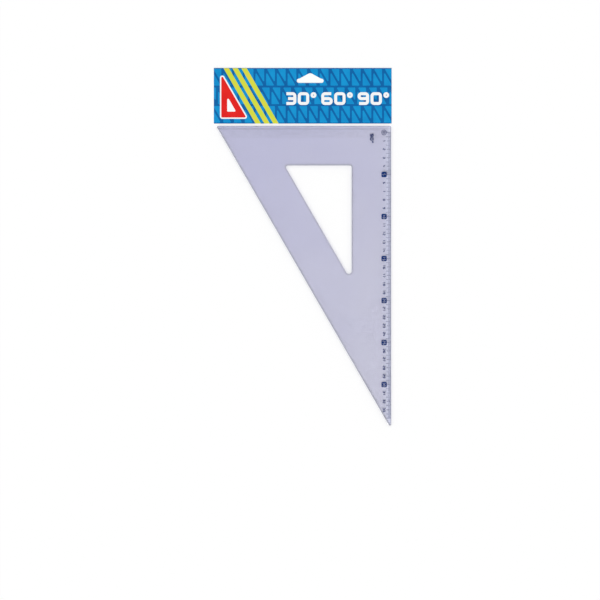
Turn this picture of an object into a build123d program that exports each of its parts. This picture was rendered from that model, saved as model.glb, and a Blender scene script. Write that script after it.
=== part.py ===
from build123d import *

import math
import os

# A 30-60-90 drafting triangle on its header card, lying flat with the printed side up, in millimetres.
# +X runs along the short leg to the square corner, +Y along the long leg to the card, +Z out of the print.
# The origin is under the middle of the whole object, on the surface that it lies on.

# Plate
LONG_LEG_LENGTH = 360.0
TIP_ANGLE = 30.0
PLATE_THICKNESS = 2.0
BAND_WIDTH = 46.8
CORNER_RADIUS = 1.3
WINDOW_CORNER_RADIUS = 2.4
WINDOW_TIP_RADIUS = 3.4
EDGE_BREAK = 0.4
BEVEL_WIDTH = 12.4
BEVEL_EDGE_THICKNESS = 1.2
STEP_WIDTH = 3.6
STEP_DEPTH = 0.5
STEP_WALL_RUN = 0.4

# Scale printed along the long leg
INK_THICKNESS = 0.05
ZERO_INSET = 7.7
MARK_PITCH = 1.0
MARKS_PER_CENTIMETRE = 10
CENTIMETRES_PER_BADGE = 5
MARK_MARGIN = 0.3
MILLIMETRE_MARK_WIDTH = 0.19
MILLIMETRE_MARK_LENGTH = 3.1
HALF_CENTIMETRE_MARK_WIDTH = 0.28
HALF_CENTIMETRE_MARK_LENGTH = 5.6
CENTIMETRE_MARK_WIDTH = 0.36
CENTIMETRE_MARK_LENGTH = 4.6
PRINT_CLEARANCE = 0.8

# Figures of the scale
NUMERAL_INSET = 8.3
NUMERAL_HEIGHT = 3.0
NUMERAL_WIDTH = 2.2
NUMERAL_STROKE = 0.62
NUMERAL_GAP = 0.5
BADGE_SIZE = 6.2
BADGE_RADIUS = 1.2
BADGE_NUMERAL_HEIGHT = 3.4
BADGE_NUMERAL_WIDTH = 2.0
BADGE_NUMERAL_STROKE = 0.6
BADGE_NUMERAL_GAP = 0.5
ZERO_RING_DIAMETER = 6.2
ZERO_RING_STROKE = 0.5

# Angle number at the square corner
ANGLE_MARK_INSET = 23.0
ANGLE_MARK_PLACE = 6.9
ANGLE_MARK_HEIGHT = 4.4
ANGLE_MARK_WIDTH = 3.6
ANGLE_MARK_STROKE = 1.0
ANGLE_MARK_GAP = 0.9

# Header card
CARD_WIDTH = 211.9
CARD_HEIGHT = 66.3
CARD_GAP = 3.0
PLATE_SHIFT = 1.2
BOARD_THICKNESS = 0.35
CARD_CORNER_RADIUS = 0.6
TONGUE_DEPTH = 14.0
TONGUE_MARGIN = 3.0
ADHESIVE_THICKNESS = 0.1
ADHESIVE_MARGIN = 1.5

# Hang slot, a flat brim with a pointed crown
SLOT_WIDTH = 31.8
SLOT_HEIGHT = 11.3
SLOT_BRIM_HEIGHT = 4.9
SLOT_BRIM_RADIUS = 2.4
SLOT_CROWN_ANGLE = 29.0
SLOT_APEX_RADIUS = 5.0
SLOT_SHOULDER_RADIUS = 1.5
SLOT_OFFSET = 8.9
SLOT_BASE_DROP = 17.7

# Card print
CARD_PRINT_MARGIN = 0.1
SLOT_PRINT_CLEARANCE = 0.1
TILE_ROWS = 3
TILE_GAP = 2.3
TILE_RADIUS = 0.8
EMBLEM_MARGIN = 9.0
EMBLEM_BAND = 7.0
EMBLEM_RADIUS = 1.2
EMBLEM_KEYLINE = 1.6
STRIPE_COUNT = 3
STRIPE_WIDTH = 6.4
STRIPE_GAP = 4.2
CARD_TEXT = "30° 60° 90°"
CARD_NUMERAL_MARGIN = 3.0

# Sizes of the card print, as shares of the card's height, its width or the width of a figure
EMBLEM_LENGTH_SHARE = 0.78
CARD_NUMERAL_DROP_SHARE = 0.55
CARD_NUMERAL_WIDTH_SHARE = 0.064
FIGURE_HEIGHT_SHARE = 1.12
FIGURE_STROKE_SHARE = 0.26
FIGURE_GAP_SHARE = 0.13

# Cuts run past the solid by this much
OVERRUN = 1.0

# Centre lines of the figures, as shares of a figure's width and height
GLYPH_STROKE_SHARES = {
    "0": [[(0, 0), (1, 0), (1, 1), (0, 1), (0, 0)]],
    "1": [[(0.1, 1), (0.6, 1), (0.6, 0)]],
    "2": [[(0, 1), (1, 1), (1, 0.5), (0, 0.5), (0, 0), (1, 0)]],
    "3": [[(0, 1), (1, 1), (1, 0), (0, 0)], [(0.2, 0.5), (1, 0.5)]],
    "4": [[(0, 1), (0, 0.35), (1, 0.35)], [(0.75, 0.75), (0.75, 0)]],
    "5": [[(1, 1), (0, 1), (0, 0.5), (1, 0.5), (1, 0), (0, 0)]],
    "6": [[(0, 0), (1, 0), (1, 0.5), (0, 0.5), (0, 0)], [(1, 1), (0, 1), (0, 0.25)]],
    "7": [[(0, 1), (1, 1), (0.4, 0)]],
    "8": [[(0, 0), (1, 0), (1, 1), (0, 1), (0, 0)], [(0, 0.5), (1, 0.5)]],
    "9": [[(0, 0.5), (1, 0.5), (1, 1), (0, 1), (0, 0.5)], [(0, 0), (1, 0), (1, 0.75)]],
}
GLYPH_RADIUS_SHARE = 0.46
DEGREE_SIZE_SHARE = 0.45
DEGREE_STROKE_SHARE = 0.8
SPACE_SHARE = 0.3
SMALLEST_TILE_SHARE = 0.03

# Worked out from the sizes above
WIDE_ANGLE = 90.0 - TIP_ANGLE
TIP_SLOPE = math.tan(math.radians(TIP_ANGLE))
SHORT_LEG_LENGTH = LONG_LEG_LENGTH * TIP_SLOPE
TIP_ROUND_OFF = CORNER_RADIUS * (1 / math.tan(math.radians(TIP_ANGLE / 2)) - 1)
TOTAL_LENGTH = CARD_HEIGHT + CARD_GAP + LONG_LEG_LENGTH - TIP_ROUND_OFF
CARD_TOP = TOTAL_LENGTH / 2
CARD_BOTTOM = CARD_TOP - CARD_HEIGHT
CARD_MIDDLE = CARD_TOP - CARD_HEIGHT / 2
CARD_LEFT = -CARD_WIDTH / 2
CARD_FRONT = 2 * BOARD_THICKNESS
FOLD_START = CARD_TOP - BOARD_THICKNESS
PLATE_EDGE = CARD_BOTTOM - CARD_GAP
PLATE_RIGHT = PLATE_SHIFT + SHORT_LEG_LENGTH / 2
PLATE_LEFT = PLATE_SHIFT - SHORT_LEG_LENGTH / 2
PLATE_BACK = BOARD_THICKNESS + ADHESIVE_THICKNESS
PLATE_FRONT = PLATE_BACK + PLATE_THICKNESS
BEVEL_DROP = PLATE_THICKNESS - BEVEL_EDGE_THICKNESS
ZERO_LEVEL = PLATE_EDGE - ZERO_INSET
CENTIMETRE = MARK_PITCH * MARKS_PER_CENTIMETRE
SCALE_ROOM = LONG_LEG_LENGTH - ZERO_INSET
TILE_LENGTH = CARD_HEIGHT / TILE_ROWS
EMBLEM_LENGTH = EMBLEM_LENGTH_SHARE * CARD_HEIGHT
CARD_NUMERAL_DROP = CARD_NUMERAL_DROP_SHARE * CARD_HEIGHT
CARD_NUMERAL_WIDTH = CARD_NUMERAL_WIDTH_SHARE * CARD_WIDTH
CARD_NUMERAL_HEIGHT = FIGURE_HEIGHT_SHARE * CARD_NUMERAL_WIDTH
CARD_NUMERAL_STROKE = FIGURE_STROKE_SHARE * CARD_NUMERAL_WIDTH
CARD_NUMERAL_GAP = FIGURE_GAP_SHARE * CARD_NUMERAL_WIDTH

# The scale lies on the bevel and the angle number on the flat face, with x along the scale and y outwards
SCALE_PLANE = Plane(
    origin=(PLATE_RIGHT, ZERO_LEVEL, PLATE_FRONT - BEVEL_DROP),
    x_dir=(0, -1, 0),
    z_dir=(BEVEL_DROP, 0, BEVEL_WIDTH),
)
FACE_PLANE = Plane(origin=(PLATE_RIGHT, ZERO_LEVEL, PLATE_FRONT), x_dir=(0, -1, 0), z_dir=(0, 0, 1))
GROUND_PLANE = Plane(origin=(0, 0, CARD_FRONT))
OVERPRINT_PLANE = Plane(origin=(0, 0, CARD_FRONT + INK_THICKNESS))


def triangle_face(square, long_leg, inset, radii):
    """Rounded 30-60-90 triangle with its square corner at the top right, moved inwards by inset."""
    short_leg = long_leg * TIP_SLOPE
    wide_run = inset / math.tan(math.radians(WIDE_ANGLE / 2))
    tip_run = inset / math.tan(math.radians(TIP_ANGLE / 2))
    right, top = square
    corners = [
        (right - inset, top - inset),
        (right - short_leg + wide_run, top - inset),
        (right - inset, top - long_leg + tip_run),
    ]
    return make_face(FilletPolyline(*corners, radius=radii, close=True))


def glyph(figure, height, width, stroke):
    """One figure drawn with a flat pen inside a box of width by height, from its lower left corner."""
    run, rise = width - stroke, height - stroke
    drawn = Sketch()
    for shares in GLYPH_STROKE_SHARES[figure]:
        points = [(stroke / 2 + across * run, stroke / 2 + up * rise) for across, up in shares]
        if len(points) > 2:
            line = FilletPolyline(*points, radius=GLYPH_RADIUS_SHARE * min(run, rise / 2))
        else:
            line = Line(*points)
        drawn += trace(line, stroke)
    return drawn


def degree_ring(height, stroke):
    """Raised ring of a degree sign, from its lower left corner."""
    outer = DEGREE_SIZE_SHARE * height / 2
    inner = outer - DEGREE_STROKE_SHARE * stroke
    return Pos(outer, height - outer) * (Circle(outer) - Circle(inner))


def lettering(text, height, width, stroke, gap):
    """A row of figures about its own middle, and the length of the row."""
    drawn = Sketch()
    start = 0
    for figure in text:
        if figure == " ":
            start += SPACE_SHARE * width
            continue
        if figure == "°":
            drawn += Pos(start, 0) * degree_ring(height, stroke)
            start += DEGREE_SIZE_SHARE * height + gap
            continue
        drawn += Pos(start, 0) * glyph(figure, height, width, stroke)
        start += width + gap
    length = start - gap
    return Pos(-length / 2, -height / 2) * drawn, length


def ink(plane, drawn):
    """Lays a drawn outline on a face as a film of ink."""
    return extrude(plane * drawn, INK_THICKNESS)


def last_centimetre(reach, half_length):
    """Last whole centimetre whose print, reaching in from the edge, stays on the narrowing plate."""
    room = SCALE_ROOM - half_length - (reach + PRINT_CLEARANCE) / TIP_SLOPE
    return math.floor(room / CENTIMETRE)


def edge_cutter(plane, points, length):
    """Prism that takes the front edge away outside a line of points, to both sides of a plane."""
    section = make_face(Polyline(*points, (OVERRUN, OVERRUN), (points[0][0], OVERRUN), close=True))
    return extrude(plane * section, length / 2 + OVERRUN, both=True)


def bevel_cutter():
    """Cutter for the bevel along the long leg."""
    plane = Plane(
        origin=(PLATE_RIGHT, PLATE_EDGE - LONG_LEG_LENGTH / 2, PLATE_FRONT),
        x_dir=(1, 0, 0),
        z_dir=(0, -1, 0),
    )
    outer_drop = BEVEL_DROP * (1 + OVERRUN / BEVEL_WIDTH)
    return edge_cutter(plane, [(-BEVEL_WIDTH, 0), (OVERRUN, -outer_drop)], LONG_LEG_LENGTH)


def step_cutter():
    """Cutter for the low step along the short leg."""
    plane = Plane(origin=(PLATE_SHIFT, PLATE_EDGE, PLATE_FRONT), x_dir=(0, 1, 0), z_dir=(1, 0, 0))
    wall_foot = (STEP_WALL_RUN - STEP_WIDTH, -STEP_DEPTH)
    return edge_cutter(plane, [(-STEP_WIDTH, 0), wall_foot, (OVERRUN, -STEP_DEPTH)], SHORT_LEG_LENGTH)


def triangle_plate():
    """Moulded plate with its window, broken edges, bevelled long edge and stepped short edge."""
    square = (PLATE_RIGHT, PLATE_EDGE)
    outline = triangle_face(square, LONG_LEG_LENGTH, 0, [CORNER_RADIUS] * 3)
    window_radii = [WINDOW_CORNER_RADIUS, WINDOW_CORNER_RADIUS, WINDOW_TIP_RADIUS]
    window = triangle_face(square, LONG_LEG_LENGTH, BAND_WIDTH, window_radii)
    blank = extrude(Pos(0, 0, PLATE_BACK) * (outline - window), PLATE_THICKNESS)
    rims = blank.faces().filter_by(Axis.Z).edges()
    blank = chamfer(rims, EDGE_BREAK)
    return blank - bevel_cutter() - step_cutter()


def scale_marks(length, width, places):
    """Ink marks of one size across the bevel, at places counted in marks from zero."""
    middle = MARK_MARGIN + length / 2
    bar = Rectangle(width, length)
    return ink(SCALE_PLANE, Sketch() + [Pos(place * MARK_PITCH, -middle) * bar for place in places])


def numeral(centimetre):
    """One figure of the scale in place on the bevel."""
    drawn, _ = lettering(str(centimetre), NUMERAL_HEIGHT, NUMERAL_WIDTH, NUMERAL_STROKE, NUMERAL_GAP)
    return Pos(centimetre * CENTIMETRE, -NUMERAL_INSET) * drawn


def centimetre_numerals(centimetres):
    """Figures of the scale between the badges."""
    return ink(SCALE_PLANE, Sketch() + [numeral(centimetre) for centimetre in centimetres])


def badge(centimetre):
    """Dark rounded square with its number left clear, in place on the bevel."""
    drawn, _ = lettering(
        str(centimetre),
        BADGE_NUMERAL_HEIGHT,
        BADGE_NUMERAL_WIDTH,
        BADGE_NUMERAL_STROKE,
        BADGE_NUMERAL_GAP,
    )
    square = RectangleRounded(BADGE_SIZE, BADGE_SIZE, BADGE_RADIUS)
    return Pos(centimetre * CENTIMETRE, -NUMERAL_INSET) * (square - drawn)


def five_centimetre_badges(centimetres):
    """Badges at every fifth centimetre."""
    return ink(SCALE_PLANE, Sketch() + [badge(centimetre) for centimetre in centimetres])


def zero_mark():
    """Zero in a ring at the start of the scale."""
    outer = ZERO_RING_DIAMETER / 2
    ring = Circle(outer) - Circle(outer - ZERO_RING_STROKE)
    drawn, _ = lettering("0", NUMERAL_HEIGHT, NUMERAL_WIDTH, NUMERAL_STROKE, NUMERAL_GAP)
    return ink(SCALE_PLANE, Pos(0, -NUMERAL_INSET) * (ring + drawn))


def corner_angle_mark():
    """Angle of the square corner, printed beside it."""
    drawn, _ = lettering("90°", ANGLE_MARK_HEIGHT, ANGLE_MARK_WIDTH, ANGLE_MARK_STROKE, ANGLE_MARK_GAP)
    return ink(FACE_PLANE, Pos(ANGLE_MARK_PLACE, -ANGLE_MARK_INSET) * drawn)


def slot_face():
    """Hang slot seen from the front, a rounded crown on a flat brim."""
    brim = Pos(0, SLOT_BRIM_HEIGHT / 2) * RectangleRounded(SLOT_WIDTH, SLOT_BRIM_HEIGHT, SLOT_BRIM_RADIUS)
    lean = math.radians(SLOT_CROWN_ANGLE)
    point_rise = SLOT_HEIGHT - SLOT_BRIM_HEIGHT + SLOT_APEX_RADIUS * (1 / math.cos(lean) - 1)
    half = point_rise / math.tan(lean)
    feet = [(-half, SLOT_BRIM_HEIGHT), (half, SLOT_BRIM_HEIGHT)]
    crown = make_face(Polyline(*feet, (0, SLOT_BRIM_HEIGHT + point_rise), close=True))
    crown = fillet(crown.vertices().sort_by(Axis.Y)[-1], SLOT_APEX_RADIUS)
    whole = brim + crown
    shoulders = [whole.vertices().sort_by_distance(foot)[0] for foot in feet]
    whole = fillet(shoulders, SLOT_SHOULDER_RADIUS)
    return Pos(SLOT_OFFSET, CARD_TOP - SLOT_BASE_DROP) * whole


def left_of_plate(level, margin):
    """Place of a line inside the slanting edge by margin, at a level or at the plate's edge if lower."""
    drop = max(PLATE_EDGE - level, 0)
    return PLATE_LEFT + margin / math.cos(math.radians(TIP_ANGLE)) + drop * TIP_SLOPE


def underlay_face(top, margin, depth):
    """What lies behind the plate's short edge and within the card, from a level down to a depth."""
    right = min(PLATE_RIGHT, -CARD_LEFT) - margin
    foot = PLATE_EDGE - depth
    levels = sorted({top, min(top, PLATE_EDGE), foot})
    left_side = [(max(left_of_plate(level, margin), CARD_LEFT + margin), level) for level in levels]
    return make_face(Polyline((right, foot), (right, top), *reversed(left_side), close=True))


def header_card(slot):
    """Board folded over at the top, with the back ply running on behind the plate as a tongue."""
    sheet = Pos(0, CARD_MIDDLE) * RectangleRounded(CARD_WIDTH, CARD_HEIGHT, CARD_CORNER_RADIUS)
    sheet += underlay_face(CARD_BOTTOM + CARD_CORNER_RADIUS, TONGUE_MARGIN, TONGUE_DEPTH)
    plies = extrude(sheet - slot, CARD_FRONT)
    side = Plane(origin=(0, 0, 0), x_dir=(0, 1, 0), z_dir=(1, 0, 0))
    front = make_face(
        Polyline(
            (CARD_BOTTOM, 0),
            (FOLD_START, 0),
            (FOLD_START, CARD_FRONT),
            (CARD_BOTTOM, CARD_FRONT),
            close=True,
        )
    )
    fold = Pos(FOLD_START, BOARD_THICKNESS) * Circle(BOARD_THICKNESS)
    tongue_foot = PLATE_EDGE - TONGUE_DEPTH - OVERRUN
    tongue = make_face(
        Polyline(
            (tongue_foot, 0),
            (FOLD_START, 0),
            (FOLD_START, BOARD_THICKNESS),
            (tongue_foot, BOARD_THICKNESS),
            close=True,
        )
    )
    profile = extrude(side * (front + fold + tongue), CARD_WIDTH, both=True)
    return plies & profile


def adhesive_strip():
    """Removable adhesive between the tongue and the back of the plate."""
    top = PLATE_EDGE - ADHESIVE_MARGIN
    strip = underlay_face(top, TONGUE_MARGIN + ADHESIVE_MARGIN, TONGUE_DEPTH - ADHESIVE_MARGIN)
    return extrude(Pos(0, 0, BOARD_THICKNESS) * strip, ADHESIVE_THICKNESS)


def print_area(slot):
    """Front of the card that takes print, up to where the fold starts."""
    width = CARD_WIDTH - 2 * CARD_PRINT_MARGIN
    foot = CARD_BOTTOM + CARD_PRINT_MARGIN
    height = FOLD_START - foot
    sheet = Pos(0, foot + height / 2) * RectangleRounded(width, height, CARD_CORNER_RADIUS)
    return sheet - offset(slot, SLOT_PRINT_CLEARANCE)


def emblem_faces():
    """Sign of a set square standing on its short leg, and the bare patch of board that it sits on."""
    stand = Pos(CARD_LEFT + EMBLEM_MARGIN, CARD_MIDDLE - EMBLEM_LENGTH / 2) * Rot(0, 0, 180)
    corner = (0, 0)
    solid = triangle_face(corner, EMBLEM_LENGTH, 0, [EMBLEM_RADIUS] * 3)
    window = triangle_face(corner, EMBLEM_LENGTH, EMBLEM_BAND, [EMBLEM_RADIUS] * 3)
    patch = triangle_face(corner, EMBLEM_LENGTH, -EMBLEM_KEYLINE, [EMBLEM_RADIUS + EMBLEM_KEYLINE] * 3)
    return stand * (solid - window), stand * patch


def stripe_face(number):
    """One stripe across the card, beside the slanting edge of the sign and level with it."""
    edge = CARD_LEFT + EMBLEM_MARGIN + EMBLEM_LENGTH / 2 * TIP_SLOPE
    clear = (EMBLEM_KEYLINE + STRIPE_GAP) / math.cos(math.radians(TIP_ANGLE))
    left = edge + clear + number * (STRIPE_WIDTH + STRIPE_GAP)
    right = left + STRIPE_WIDTH
    lean = CARD_HEIGHT / 2 * TIP_SLOPE
    return make_face(
        Polyline(
            (left + lean, CARD_BOTTOM),
            (right + lean, CARD_BOTTOM),
            (right - lean, CARD_TOP),
            (left - lean, CARD_TOP),
            close=True,
        )
    )


def tile_faces():
    """Rows of small set squares over the card, nested in pairs, with every other row half a pair along."""
    width = TILE_LENGTH * TIP_SLOPE
    columns = math.ceil(CARD_WIDTH / width / 2)
    tile = triangle_face((width / 2, TILE_LENGTH / 2), TILE_LENGTH, TILE_GAP / 2, [TILE_RADIUS] * 3)
    pair = tile + Rot(0, 0, 180) * tile
    faces = []
    for row in range(TILE_ROWS):
        level = CARD_TOP - (row + 1 / 2) * TILE_LENGTH
        for column in range(-columns - 1, columns + 1):
            faces.append(Pos((column + row % 2 / 2) * width, level) * pair)
    return Sketch() + faces


def card_tiles(area, patch, stripes, figures):
    """Tiles inside the printed area, cut round the other print, without the slivers that the cuts leave."""
    smallest = SMALLEST_TILE_SHARE * TILE_LENGTH**2 * TIP_SLOPE / 2
    cut = (area & tile_faces()) - patch - stripes - figures
    return Sketch() + [face for face in cut.faces() if face.area > smallest]


def card_figures():
    """White angle numbers in place on the card."""
    drawn, length = lettering(
        CARD_TEXT,
        CARD_NUMERAL_HEIGHT,
        CARD_NUMERAL_WIDTH,
        CARD_NUMERAL_STROKE,
        CARD_NUMERAL_GAP,
    )
    middle = CARD_WIDTH / 2 - CARD_NUMERAL_MARGIN - length / 2
    return Pos(middle, CARD_TOP - CARD_NUMERAL_DROP) * drawn


def plate_nodes():
    """The plate and the print on it, by node name."""
    last_mark = last_centimetre(MARK_MARGIN + CENTIMETRE_MARK_LENGTH, CENTIMETRE_MARK_WIDTH / 2)
    marks = range(last_mark * MARKS_PER_CENTIMETRE + 1)
    half = MARKS_PER_CENTIMETRE // 2
    whole_marks = [mark for mark in marks if mark % MARKS_PER_CENTIMETRE == 0]
    half_marks = [mark for mark in marks if mark % MARKS_PER_CENTIMETRE == half]
    fine_marks = [mark for mark in marks if mark % half]
    row_length = 2 * NUMERAL_WIDTH + NUMERAL_GAP
    last_numeral = last_centimetre(NUMERAL_INSET + NUMERAL_HEIGHT / 2, row_length / 2)
    last_badge = last_centimetre(NUMERAL_INSET + BADGE_SIZE / 2, BADGE_SIZE / 2)
    badges = range(CENTIMETRES_PER_BADGE, last_badge + 1, CENTIMETRES_PER_BADGE)
    numerals = [centimetre for centimetre in range(1, last_numeral + 1) if centimetre % CENTIMETRES_PER_BADGE]
    return {
        "triangle_plate": triangle_plate(),
        "millimetre_marks": scale_marks(MILLIMETRE_MARK_LENGTH, MILLIMETRE_MARK_WIDTH, fine_marks),
        "half_centimetre_marks": scale_marks(
            HALF_CENTIMETRE_MARK_LENGTH, HALF_CENTIMETRE_MARK_WIDTH, half_marks
        ),
        "centimetre_marks": scale_marks(CENTIMETRE_MARK_LENGTH, CENTIMETRE_MARK_WIDTH, whole_marks),
        "centimetre_numerals": centimetre_numerals(numerals),
        "five_centimetre_badges": five_centimetre_badges(badges),
        "zero_mark": zero_mark(),
        "corner_angle_mark": corner_angle_mark(),
    }


def card_nodes():
    """The header card, its adhesive and the print on it, by node name."""
    slot = slot_face()
    area = print_area(slot)
    emblem, patch = emblem_faces()
    stripes = area & (Sketch() + [stripe_face(number) for number in range(STRIPE_COUNT)])
    figures = card_figures()
    tiles = card_tiles(area, patch, stripes, figures)
    return {
        "header_card": header_card(slot),
        "adhesive_strip": adhesive_strip(),
        "card_ground": ink(GROUND_PLANE, area - patch),
        "card_emblem": ink(GROUND_PLANE, emblem),
        "card_tiles": ink(OVERPRINT_PLANE, tiles),
        "card_stripes": ink(OVERPRINT_PLANE, stripes),
        "card_numerals": ink(OVERPRINT_PLANE, figures),
    }


os.makedirs("parts", exist_ok=True)
for name, node in (plate_nodes() | card_nodes()).items():
    export_step(node, f"parts/{name}.step")
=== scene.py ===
"""A drafting triangle on its header card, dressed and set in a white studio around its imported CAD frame."""

import logging
import math
from collections.abc import Callable
from dataclasses import dataclass, field
from enum import Enum

import bmesh
import bpy
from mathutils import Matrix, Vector


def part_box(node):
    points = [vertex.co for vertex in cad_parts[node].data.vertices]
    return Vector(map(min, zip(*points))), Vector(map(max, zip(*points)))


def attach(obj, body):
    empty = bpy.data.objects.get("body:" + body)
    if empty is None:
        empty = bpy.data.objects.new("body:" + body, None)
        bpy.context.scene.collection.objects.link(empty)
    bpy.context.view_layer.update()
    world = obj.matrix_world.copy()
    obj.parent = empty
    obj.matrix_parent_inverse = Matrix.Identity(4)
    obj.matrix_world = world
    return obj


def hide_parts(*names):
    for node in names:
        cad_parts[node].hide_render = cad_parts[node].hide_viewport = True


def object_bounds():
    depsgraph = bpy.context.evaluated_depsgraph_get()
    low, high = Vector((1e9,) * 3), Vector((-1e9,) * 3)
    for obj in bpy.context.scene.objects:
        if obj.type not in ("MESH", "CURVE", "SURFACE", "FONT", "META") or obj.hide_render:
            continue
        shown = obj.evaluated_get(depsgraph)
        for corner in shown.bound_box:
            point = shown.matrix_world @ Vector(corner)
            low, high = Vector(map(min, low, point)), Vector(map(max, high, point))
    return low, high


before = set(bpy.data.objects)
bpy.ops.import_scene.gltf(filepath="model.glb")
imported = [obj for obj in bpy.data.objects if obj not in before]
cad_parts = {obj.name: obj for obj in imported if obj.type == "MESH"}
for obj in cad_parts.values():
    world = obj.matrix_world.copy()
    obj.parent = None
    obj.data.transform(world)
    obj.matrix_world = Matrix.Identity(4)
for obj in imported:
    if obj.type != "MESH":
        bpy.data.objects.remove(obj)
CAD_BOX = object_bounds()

Rgb = tuple[float, float, float]
Point = tuple[float, float, float]
Range = tuple[float, float]
Socket = bpy.types.NodeSocket

LOG = logging.getLogger("drafting_triangle")
MM = 0.001
WHITE: Rgb = (1.0, 1.0, 1.0)

# Degrees between the long leg and the slanting edge
TIP_ANGLE = 30.0

# The middle of a noise, and the stretch of it over which a surface turns from smooth to rough
NOISE_MIDDLE = 0.5
SHINE_RANGE: Range = (0.3, 0.7)


class Sheen(Enum):
    """How far a printed or bare surface shines, as its lowest and highest roughness."""

    MATTE = (0.55, 0.75)
    SATIN = (0.34, 0.5)
    GLOSS = (0.2, 0.4)
    POLISHED = (0.02, 0.09)


class Shader:
    """One material's nodes, with short calls for those that the finishes share."""

    def __init__(self, name: str) -> None:
        """Starts an empty material.

        Args:
            name: The material's name.
        """
        self.material = bpy.data.materials.new(name)
        self.material.use_nodes = True
        self.tree = self.material.node_tree
        self.tree.nodes.clear()
        self.output = self.tree.nodes.new("ShaderNodeOutputMaterial")
        self.place = self.tree.nodes.new("ShaderNodeTexCoord").outputs["Object"]

    def feed(self, socket: Socket, value: Socket | float | tuple) -> None:
        """Links an output to a socket, or sets the socket to a plain value.

        Args:
            socket: The input to fill.
            value: An output socket, a number, or a colour or vector.
        """
        if isinstance(value, bpy.types.NodeSocket):
            self.tree.links.new(value, socket)
        elif isinstance(value, tuple) and socket.type == "RGBA":
            socket.default_value = (*value, 1.0)
        else:
            socket.default_value = value

    def node(self, kind: str, **inputs: Socket | float | tuple) -> bpy.types.Node:
        """Adds a node and fills its inputs.

        Args:
            kind: The node's type name, without its prefix.
            inputs: Values by input name, with underscores for spaces.

        Returns:
            The new node.
        """
        made = self.tree.nodes.new(f"ShaderNode{kind}")
        for name, value in inputs.items():
            self.feed(made.inputs[name.replace("_", " ")], value)
        return made

    def maths(self, operation: str, first: Socket | float, second: Socket | float) -> Socket:
        """Works out one number from two.

        Args:
            operation: The Math node's operation.
            first: The first number.
            second: The second number.

        Returns:
            The result.
        """
        made = self.tree.nodes.new("ShaderNodeMath")
        made.operation = operation
        self.feed(made.inputs[0], first)
        self.feed(made.inputs[1], second)
        return made.outputs[0]

    def stretched(self, shares: Point) -> Socket:
        """Object coordinates with each axis multiplied by its share.

        Args:
            shares: One factor for each axis.

        Returns:
            The stretched coordinates.
        """
        made = self.node("Mapping", Vector=self.place)
        made.inputs["Scale"].default_value = shares
        return made.outputs["Vector"]

    def noise(self, size: float, detail: float, place: Socket | None = None) -> Socket:
        """Soft noise with features of a given size.

        Args:
            size: Rough size of a feature, in metres.
            detail: How many finer layers are added.
            place: Coordinates to read, or the object's own.

        Returns:
            The noise, between 0 and 1.
        """
        return self.node("TexNoise", Vector=place or self.place, Scale=1 / size, Detail=detail).outputs["Fac"]

    def span(self, value: Socket, start: float, end: float, low: float = 0.0, high: float = 1.0) -> Socket:
        """Turns a range of numbers into another, held at its ends and eased between them.

        Args:
            value: The number to turn.
            start: Where the first range begins.
            end: Where the first range ends.
            low: What the beginning becomes.
            high: What the end becomes.

        Returns:
            The turned number.
        """
        made = self.node("MapRange", Value=value)
        made.interpolation_type = "SMOOTHSTEP"
        for name, plain in (("From Min", start), ("From Max", end), ("To Min", low), ("To Max", high)):
            made.inputs[name].default_value = plain
        return made.outputs["Result"]

    def mixed(self, share: Socket, low: Socket | Rgb, high: Socket | Rgb) -> Socket:
        """Mixes two colours.

        Args:
            share: How much of the second colour there is.
            low: The first colour.
            high: The second colour.

        Returns:
            The mixed colour.
        """
        made = self.tree.nodes.new("ShaderNodeMix")
        made.data_type = "RGBA"
        self.feed(made.inputs["Factor"], share)
        colours = [socket for socket in made.inputs if socket.type == "RGBA"]
        self.feed(colours[0], low)
        self.feed(colours[1], high)
        return next(socket for socket in made.outputs if socket.type == "RGBA")

    def flatness(self) -> Socket:
        """One on a level face, falling to zero on an upright wall."""
        normal = self.node("TexCoord").outputs["Normal"]
        return self.maths("ABSOLUTE", self.node("SeparateXYZ", Vector=normal).outputs["Z"], 0.0)

    def raised(self, height: Socket, depth: float, strength: float) -> Socket:
        """A surface normal that follows a height.

        Args:
            height: The height, between 0 and 1.
            depth: How far that stands up, in metres.
            strength: How much of it shows.

        Returns:
            The normal.
        """
        return self.node("Bump", Height=height, Distance=depth, Strength=strength).outputs["Normal"]

    def finish(self, surface: Socket) -> bpy.types.Material:
        """Sends a shader to the material's output and returns the material."""
        self.feed(self.output.inputs["Surface"], surface)
        return self.material


@dataclass(frozen=True)
class InkFinish:
    """Printing ink with an uneven lay: cloudy over some millimetres and grainy over less than one."""

    name: str
    thin: Rgb
    full: Rgb
    sheen: Sheen
    gloss: float = 0.12
    cloud_size: float = 14 * MM
    cloud_detail: float = 2.0
    grain_size: float = 0.7 * MM
    grain_detail: float = 4.0
    grain_depth: float = 0.02 * MM
    grain_strength: float = 0.4
    grain_share: float = 0.35
    lay_range: Range = (0.25, 0.75)

    def material(self) -> bpy.types.Material:
        """Builds the ink's material.

        Returns:
            The material.
        """
        shader = Shader(self.name)
        cloud = shader.noise(self.cloud_size, self.cloud_detail)
        grain = shader.noise(self.grain_size, self.grain_detail)
        speckle = shader.maths("SUBTRACT", grain, NOISE_MIDDLE)
        lay = shader.maths("ADD", cloud, shader.maths("MULTIPLY", speckle, self.grain_share))
        ink = shader.node(
            "BsdfPrincipled",
            Base_Color=shader.mixed(shader.span(lay, *self.lay_range), self.thin, self.full),
            Roughness=shader.span(grain, *SHINE_RANGE, *self.sheen.value),
            Specular_IOR_Level=self.gloss,
            Normal=shader.raised(grain, self.grain_depth, self.grain_strength),
        )
        return shader.finish(ink.outputs["BSDF"])


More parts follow.
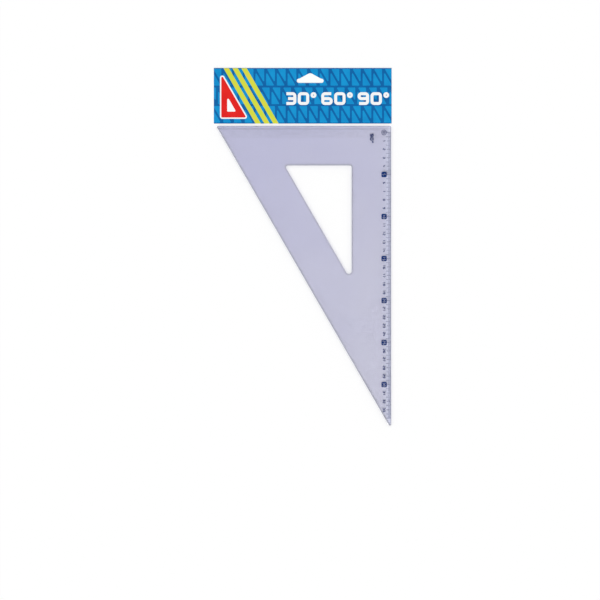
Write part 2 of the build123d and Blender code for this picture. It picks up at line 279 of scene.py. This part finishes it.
@dataclass(frozen=True)
class BoardFinish:
    """White coated board, with fibres in its coat, a greyer core where it is cut and print over its fold."""

    name: str = "white_board"
    coat: Rgb = (0.975, 0.975, 0.97)
    fold_print: Rgb = (0.0, 0.13, 0.38)
    fold_blend: float = 0.04 * MM
    fibre: Rgb = (0.95, 0.95, 0.94)
    core: Rgb = (0.74, 0.72, 0.67)
    fibre_size: float = 1.1 * MM
    fibre_detail: float = 5.0
    fibre_stretch: Point = (0.35, 1.0, 1.0)
    fibre_range: Range = (0.35, 0.65)
    fibre_depth: float = 0.03 * MM
    fibre_strength: float = 0.35
    ply_size: float = 0.12 * MM
    ply_detail: float = 2.0
    ply_stretch: Point = (0.05, 0.05, 1.0)
    cut_flatness: Range = (0.3, 0.8)
    sheen: Sheen = Sheen.MATTE

    def material(self, fold_start: float) -> bpy.types.Material:
        """Builds the board's material.

        Args:
            fold_start: How far up the card its fold begins, in metres.

        Returns:
            The material.
        """
        shader = Shader(self.name)
        fibres = shader.noise(self.fibre_size, self.fibre_detail, shader.stretched(self.fibre_stretch))
        face = shader.mixed(shader.span(fibres, *self.fibre_range), self.fibre, self.coat)
        plies = shader.noise(self.ply_size, self.ply_detail, shader.stretched(self.ply_stretch))
        cut = shader.mixed(plies, self.core, self.fibre)
        bare = shader.mixed(shader.span(shader.flatness(), *self.cut_flatness), cut, face)
        way_up = shader.node("SeparateXYZ", Vector=shader.place).outputs["Y"]
        folded = shader.span(way_up, fold_start, fold_start + self.fold_blend)
        board = shader.node(
            "BsdfPrincipled",
            Base_Color=shader.mixed(folded, bare, self.fold_print),
            Roughness=shader.span(fibres, *SHINE_RANGE, *self.sheen.value),
            Normal=shader.raised(fibres, self.fibre_depth, self.fibre_strength),
        )
        return shader.finish(board.outputs["BSDF"])


@dataclass(frozen=True)
class TintedPlasticFinish:
    """Moulded clear plastic with a cool grey tint, and painted shade in darker lines along its edges and its
    step.

    The tint pales unevenly towards the tip. The bevel is thinner and so paler too,
    and the walls, which are looked at along the plate, are less clear.
    """

    name: str = "tinted_clear_plastic"
    tint: Rgb = (0.626, 0.626, 0.738)
    tip_tint: Rgb = (0.667, 0.667, 0.739)
    thin_tint: Rgb = (0.704, 0.719, 0.808)
    # Painted shade: the colour of the darker lines along the edges, the window and the step
    painted_edge_shade: Rgb = (0.545, 0.545, 0.601)
    wall_tint: Rgb = (0.4, 0.4, 0.55)
    wall_clearness: float = 0.4
    wall_flatness: float = 0.55
    face_flatness: float = 0.9
    index: float = 1.49
    painted_shade_width: float = 2.8 * MM
    flow_size: float = 60 * MM
    flow_detail: float = 1.0
    flow_share: float = 0.6
    ripple_size: float = 22 * MM
    ripple_detail: float = 1.0
    ripple_depth: float = 0.02 * MM
    ripple_strength: float = 0.3
    scuff_size: float = 9 * MM
    scuff_detail: float = 6.0
    scuff_stretch: Point = (1.0, 0.06, 1.0)
    scuff_range: Range = (0.55, 0.75)
    sheen: Sheen = Sheen.POLISHED

    def material(self, outline: "PlateOutline") -> bpy.types.Material:
        """Builds the plastic's material, which turns to a plain tint where a lamp shines through it.

        Args:
            outline: The plate's outline, for what follows its edges.

        Returns:
            The material.
        """
        shader = Shader(self.name)
        flow = shader.maths("SUBTRACT", shader.noise(self.flow_size, self.flow_detail), NOISE_MIDDLE)
        drift = shader.maths("ADD", outline.drift(shader), shader.maths("MULTIPLY", flow, self.flow_share))
        body = shader.mixed(drift, self.tint, self.tip_tint)
        thick = shader.span(outline.depth_from_long(shader), 0.0, outline.bevel_width)
        # Painted shade: the face darkens towards the lines along the edges, the window and the step
        inside = shader.span(outline.painted_shade_distance(shader), 0.0, self.painted_shade_width)
        face = shader.mixed(inside, self.painted_edge_shade, shader.mixed(thick, self.thin_tint, body))
        level = shader.span(shader.flatness(), self.wall_flatness, self.face_flatness)
        clear = shader.maths("MAXIMUM", level, self.wall_clearness)
        scuffs = shader.noise(self.scuff_size, self.scuff_detail, shader.stretched(self.scuff_stretch))
        ripple = shader.noise(self.ripple_size, self.ripple_detail)
        plastic = shader.node(
            "BsdfPrincipled",
            Base_Color=shader.mixed(level, self.wall_tint, face),
            Roughness=shader.span(scuffs, *self.scuff_range, *self.sheen.value),
            IOR=self.index,
            Transmission_Weight=clear,
            Normal=shader.raised(ripple, self.ripple_depth, self.ripple_strength),
        )
        film: Rgb = tuple(math.sqrt((far + near) / 2) for far, near in zip(self.tint, self.tip_tint))
        pick = shader.node("MixShader")
        shader.feed(pick.inputs[0], shader.node("LightPath").outputs["Is Shadow Ray"])
        shader.feed(pick.inputs[1], plastic.outputs["BSDF"])
        shader.feed(pick.inputs[2], shader.node("BsdfTransparent", Color=film).outputs["BSDF"])
        return shader.finish(pick.outputs["Shader"])


@dataclass(frozen=True)
class AdhesiveFinish:
    """Removable adhesive, milky over the white board, a little cloudy and uneven."""

    name: str = "clear_adhesive"
    clear: Rgb = (0.98, 0.98, 0.975)
    cloudy: Rgb = (0.955, 0.955, 0.945)
    blot_size: float = 3.5 * MM
    blot_detail: float = 3.0
    blot_range: Range = (0.35, 0.65)
    blot_depth: float = 0.03 * MM
    blot_strength: float = 0.3
    sheen: Sheen = Sheen.GLOSS

    def material(self) -> bpy.types.Material:
        """Builds the adhesive's material.

        Returns:
            The material.
        """
        shader = Shader(self.name)
        blots = shader.noise(self.blot_size, self.blot_detail)
        glue = shader.node(
            "BsdfPrincipled",
            Base_Color=shader.mixed(shader.span(blots, *self.blot_range), self.cloudy, self.clear),
            Roughness=shader.span(blots, *SHINE_RANGE, *self.sheen.value),
            Normal=shader.raised(blots, self.blot_depth, self.blot_strength),
        )
        return shader.finish(glue.outputs["BSDF"])


@dataclass(frozen=True)
class FloorFinish:
    """White studio floor that takes a shadow and lifts to white where it is seen."""

    name: str = "studio_floor"
    white: Rgb = (0.985, 0.985, 0.985)
    lift: float = 0.02

    def material(self) -> bpy.types.Material:
        """Builds the floor's material.

        Returns:
            The material.
        """
        shader = Shader(self.name)
        paint = shader.node("BsdfDiffuse", Color=self.white)
        glow = shader.node("Emission", Color=WHITE)
        shader.feed(glow.inputs["Strength"], shader.maths("MULTIPLY", seen_share(shader.tree), self.lift))
        both = shader.node("AddShader")
        shader.feed(both.inputs[0], paint.outputs["BSDF"])
        shader.feed(both.inputs[1], glow.outputs["Emission"])
        return shader.finish(both.outputs["Shader"])


def seen_share(tree: bpy.types.NodeTree) -> Socket:
    """One for a ray that is seen straight, mirrored or through glass, and zero for light.

    Args:
        tree: The node tree to work in.

    Returns:
        The share.
    """
    path = tree.nodes.new("ShaderNodeLightPath")
    share = path.outputs["Is Camera Ray"]
    for name in ("Is Glossy Ray", "Is Transmission Ray"):
        either = tree.nodes.new("ShaderNodeMath")
        either.operation = "MAXIMUM"
        tree.links.new(share, either.inputs[0])
        tree.links.new(path.outputs[name], either.inputs[1])
        share = either.outputs[0]
    return share


def dress(node: str, material: bpy.types.Material) -> None:
    """Gives a CAD node one material and reports it.

    Args:
        node: The node's name.
        material: Its material.
    """
    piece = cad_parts[node]
    piece.data.materials.clear()
    piece.data.materials.append(material)
    LOG.info("%s: %s, %d faces", node, material.name, len(piece.data.polygons))


@dataclass
class PlateOutline:
    """The plate's outer edges, bevel, window and step, for what follows them."""

    tip_angle: float = TIP_ANGLE
    band_width: float = 46.8 * MM
    bevel_width: float = 12.4 * MM
    window_tip_radius: float = 3.4 * MM
    window_corner_radius: float = 2.4 * MM
    step_place: float = 3.4 * MM
    step_share: float = 4.6
    long_share: float = 3.0
    drift_angle: float = 35.0
    corner: Vector = field(default_factory=lambda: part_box("triangle_plate")[1])
    long_leg: float = 360 * MM

    def depth_from(self, shader: Shader, point: Point, inward: Point) -> Socket:
        """How far a point of the plate lies inside a straight edge.

        Args:
            shader: The material's nodes.
            point: A point on the edge.
            inward: The direction into the plate, square to the edge.

        Returns:
            The depth, in metres.
        """
        offset = shader.tree.nodes.new("ShaderNodeVectorMath")
        offset.operation = "SUBTRACT"
        shader.feed(offset.inputs[0], shader.place)
        offset.inputs[1].default_value = point
        depth = shader.tree.nodes.new("ShaderNodeVectorMath")
        depth.operation = "DOT_PRODUCT"
        shader.feed(depth.inputs[0], offset.outputs["Vector"])
        depth.inputs[1].default_value = inward
        return depth.outputs["Value"]

    def depth_from_long(self, shader: Shader) -> Socket:
        """How far a point of the plate lies inside its long leg, in metres."""
        return self.depth_from(shader, tuple(self.corner), (-1.0, 0.0, 0.0))

    def far_corner(self) -> Point:
        """The corner where the short leg meets the slanting edge."""
        short_leg = self.long_leg * math.tan(math.radians(self.tip_angle))
        return (self.corner.x - short_leg, self.corner.y, 0.0)

    def drift(self, shader: Shader) -> Socket:
        """How far a point of the plate lies on the way from the far corner to the tip.

        Args:
            shader: The material's nodes.

        Returns:
            The share of the way, from 0 to 1.
        """
        turn = math.radians(self.drift_angle)
        way = Vector((math.cos(turn), -math.sin(turn), 0.0))
        tip = Vector((self.corner.x, self.corner.y - self.long_leg, 0.0))
        length = (tip - Vector(self.far_corner())).dot(way)
        return shader.span(self.depth_from(shader, self.far_corner(), tuple(way)), 0.0, length)

    def painted_shade_distance(self, shader: Shader) -> Socket:
        """How far a point of the plate lies from its nearest line of painted edge shade.

        The lines run along the long leg, the slanting edge, the window and the step beside the short leg.

        Args:
            shader: The material's nodes.

        Returns:
            The distance, in metres.
        """
        lean = math.radians(self.tip_angle)
        from_long = self.depth_from_long(shader)
        from_short = self.depth_from(shader, tuple(self.corner), (0.0, -1.0, 0.0))
        from_slant = self.depth_from(shader, self.far_corner(), (math.cos(lean), math.sin(lean), 0.0))
        nearest = shader.maths("MINIMUM", shader.maths("MINIMUM", from_long, from_slant), from_short)
        window = self.round_window(shader, shader.maths("SUBTRACT", self.band_width, nearest))
        outer = shader.maths("MINIMUM", shader.maths("MULTIPLY", from_long, self.long_share), from_slant)
        step = shader.maths("ABSOLUTE", shader.maths("SUBTRACT", from_short, self.step_place), 0.0)
        step = shader.maths("MULTIPLY", step, self.step_share)
        return shader.maths("MINIMUM", shader.maths("MINIMUM", outer, window), step)

    def round_window(self, shader: Shader, sharp: Socket) -> Socket:
        """Rounds the distance from a sharp window at the window's three corners.

        Args:
            shader: The material's nodes.
            sharp: The distance from a window with sharp corners.

        Returns:
            The distance from the rounded window, in metres.
        """
        lean = math.radians(self.tip_angle)
        wide = math.pi / 2 - lean
        long_leg = self.long_leg - self.band_width * (1 + 1 / math.tan(lean / 2))
        square = Vector((self.corner.x - self.band_width, self.corner.y - self.band_width, 0.0))
        along, up = Vector((1.0, 0.0, 0.0)), Vector((0.0, 1.0, 0.0))
        slope = Vector((-math.sin(lean), math.cos(lean), 0.0))
        corners = (
            (square, along, up, math.pi / 2, self.window_corner_radius),
            (square - along * long_leg * math.tan(lean), -along, slope, wide, self.window_corner_radius),
            (square - up * long_leg, -up, -slope, lean, self.window_tip_radius),
        )
        flat_place = shader.stretched((1.0, 1.0, 0.0))
        for point, first, second, angle, radius in corners:
            out = (first + second).normalized()
            middle = tuple(point - out * radius / math.sin(angle / 2))
            sides = [self.depth_from(shader, middle, tuple(side)) for side in (first, second)]
            beyond = shader.maths("GREATER_THAN", shader.maths("MINIMUM", *sides), 0.0)
            away = shader.tree.nodes.new("ShaderNodeVectorMath")
            away.operation = "DISTANCE"
            shader.feed(away.inputs[0], flat_place)
            away.inputs[1].default_value = middle
            rounded = shader.maths("SUBTRACT", away.outputs["Value"], radius)
            extra = shader.maths("MULTIPLY", beyond, shader.maths("SUBTRACT", rounded, sharp))
            sharp = shader.maths("ADD", sharp, extra)
        return sharp


@dataclass
class TrianglePlate:
    """The moulded plate with the scale printed on it."""

    outline: PlateOutline = field(default_factory=PlateOutline)
    plastic: TintedPlasticFinish = TintedPlasticFinish()
    scale_ink: InkFinish = InkFinish(
        "scale_ink", (0.01, 0.036, 0.18), (0.004, 0.02, 0.13), Sheen.SATIN, cloud_size=6 * MM
    )
    badge_ink: InkFinish = InkFinish(
        "badge_ink", (0.004, 0.042, 0.2), (0.002, 0.027, 0.15), Sheen.SATIN, cloud_size=4 * MM
    )

    def dress(self) -> None:
        """Dresses the plate and its print."""
        dress("triangle_plate", self.plastic.material(self.outline))
        thin_ink = self.scale_ink.material()
        for node in (
            "millimetre_marks",
            "half_centimetre_marks",
            "centimetre_marks",
            "centimetre_numerals",
            "zero_mark",
            "corner_angle_mark",
        ):
            dress(node, thin_ink)
        dress("five_centimetre_badges", self.badge_ink.material())


@dataclass
class AdhesiveFilm:
    """The film that holds the plate on the card's tongue.

    It lies a hair clear of the plate, so that its face is seen.
    """

    finish: AdhesiveFinish = AdhesiveFinish()
    clearance: float = 0.03 * MM
    rim_round: float = 0.01 * MM
    rim_steps: int = 2
    tip_angle: float = TIP_ANGLE

    def build(self) -> None:
        """Models the film in place of its CAD node and dresses it."""
        low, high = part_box("adhesive_strip")
        size, middle = high - low, (low + high) / 2
        bpy.ops.object.select_all(action="DESELECT")
        bpy.ops.mesh.primitive_plane_add(size=1.0, location=(middle.x, middle.y, low.z))
        film = bpy.context.object
        film.name = "adhesive_film"
        film.scale = (size.x, size.y, 1.0)
        bpy.ops.object.transform_apply(location=True, rotation=True, scale=True)
        bpy.ops.object.mode_set(mode="EDIT")
        select_points(film, lambda point: point.x < middle.x and point.y < middle.y)
        bpy.ops.transform.translate(value=(size.y * math.tan(math.radians(self.tip_angle)), 0.0, 0.0))
        bpy.ops.mesh.select_all(action="SELECT")
        rise = (0.0, 0.0, size.z - self.clearance)
        bpy.ops.mesh.extrude_region_move(TRANSFORM_OT_translate={"value": rise})
        bpy.ops.mesh.select_all(action="SELECT")
        bpy.ops.mesh.normals_make_consistent(inside=False)
        bpy.ops.object.mode_set(mode="OBJECT")
        rim = film.modifiers.new("rim", "BEVEL")
        rim.width = self.rim_round
        rim.segments = self.rim_steps
        bpy.ops.object.modifier_apply(modifier=rim.name)
        film.data.materials.append(self.finish.material())
        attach(film, "header")
        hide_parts("adhesive_strip")
        LOG.info("%s: %s, %d faces", film.name, self.finish.name, len(film.data.polygons))


@dataclass
class HeaderCard:
    """The folded card with its print."""

    board: BoardFinish = BoardFinish()
    board_thickness: float = 0.35 * MM
    adhesive: AdhesiveFilm = field(default_factory=AdhesiveFilm)
    inks: dict[str, InkFinish] = field(
        default_factory=lambda: {
            "card_ground": InkFinish("deep_blue_ink", (0.0, 0.14, 0.41), (0.0, 0.11, 0.345), Sheen.SATIN),
            "card_tiles": InkFinish("sky_blue_ink", (0.004, 0.3, 0.65), (0.001, 0.25, 0.585), Sheen.SATIN),
            "card_stripes": InkFinish("lime_ink", (0.74, 0.68, 0.06), (0.6, 0.72, 0.05), Sheen.SATIN),
            "card_emblem": InkFinish("red_ink", (0.8, 0.018, 0.014), (0.73, 0.012, 0.01), Sheen.SATIN),
            "card_numerals": InkFinish("white_ink", (0.9, 0.9, 0.9), (0.95, 0.95, 0.95), Sheen.SATIN),
        }
    )

    def build(self) -> None:
        """Models the adhesive and dresses the card and its print."""
        fold_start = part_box("header_card")[1].y - self.board_thickness
        dress("header_card", self.board.material(fold_start))
        self.adhesive.build()
        for node, ink in self.inks.items():
            dress(node, ink.material())


@dataclass
class Studio:
    """White floor, soft light and a camera straight above the object."""

    floor: FloorFinish = FloorFinish()
    floor_size: float = 40.0
    floor_drop: float = 0.05 * MM
    sky_strength: float = 0.77
    seen_strength: float = 1.0
    lamp_strength: float = 0.9
    lamp_angle: float = 16.0
    lamp_turn: Point = (38.0, 0.0, -35.0)
    view_centre: tuple[float, float] = (-3.2 * MM, -63.45 * MM)
    view_width: float = 713.9 * MM
    lens: float = 100.0
    sensor: float = 36.0

    def build(self) -> None:
        """Builds the floor, the light and the camera."""
        self.build_floor()
        self.build_light()
        self.build_camera()

    def build_floor(self) -> None:
        """Lays a wide floor just under the object."""
        bpy.ops.object.select_all(action="DESELECT")
        height = CAD_BOX[0].z - self.floor_drop
        bpy.ops.mesh.primitive_plane_add(size=self.floor_size, location=(0.0, 0.0, height))
        plane = bpy.context.object
        plane.name = "studio_floor"
        bpy.ops.object.transform_apply(location=True, rotation=False, scale=False)
        plane.data.materials.append(self.floor.material())
        LOG.info("%s laid", plane.name)

    def build_light(self) -> None:
        """Adds an even sky, white where it is seen, and one soft lamp."""
        world = bpy.data.worlds.new("studio_sky")
        bpy.context.scene.world = world
        world.use_nodes = True
        tree = world.node_tree
        sky = next(node for node in tree.nodes if node.type == "BACKGROUND")
        sky.inputs["Color"].default_value = (*WHITE, 1.0)
        strength = tree.nodes.new("ShaderNodeMapRange")
        tree.links.new(seen_share(tree), strength.inputs["Value"])
        strength.inputs["To Min"].default_value = self.sky_strength
        strength.inputs["To Max"].default_value = self.seen_strength
        tree.links.new(strength.outputs["Result"], sky.inputs["Strength"])
        bpy.ops.object.light_add(type="SUN", rotation=tuple(math.radians(turn) for turn in self.lamp_turn))
        lamp = bpy.context.object
        lamp.name = "soft_lamp"
        lamp.data.energy = self.lamp_strength
        lamp.data.angle = math.radians(self.lamp_angle)
        LOG.info("%s lit", lamp.name)

    def build_camera(self) -> None:
        """Sets the camera straight above, framed as the photograph is."""
        distance = self.view_width * self.lens / self.sensor
        bpy.ops.object.camera_add(location=(*self.view_centre, CAD_BOX[1].z + distance))
        camera = bpy.context.object
        camera.name = "photo_camera"
        camera.data.lens = self.lens
        camera.data.sensor_width = self.sensor
        bpy.context.scene.camera = camera
        bpy.context.scene.view_settings.view_transform = "Standard"
        LOG.info("%s set %.3f m above the object", camera.name, distance)


def select_points(piece: bpy.types.Object, wanted: Callable[[Vector], bool]) -> None:
    """Selects some points of a piece in edit mode, and no others.

    Args:
        piece: The piece that is being edited.
        wanted: Says of a point's place whether it is selected.
    """
    mesh = bmesh.from_edit_mesh(piece.data)
    for point in mesh.verts:
        point.select = wanted(point.co)
    mesh.select_flush_mode()
    bmesh.update_edit_mesh(piece.data)


def main() -> None:
    """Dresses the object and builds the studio."""
    logging.basicConfig(level=logging.INFO, format="%(name)s: %(message)s")
    TrianglePlate().dress()
    HeaderCard().build()
    Studio().build()


if __name__ == "__main__":
    main()
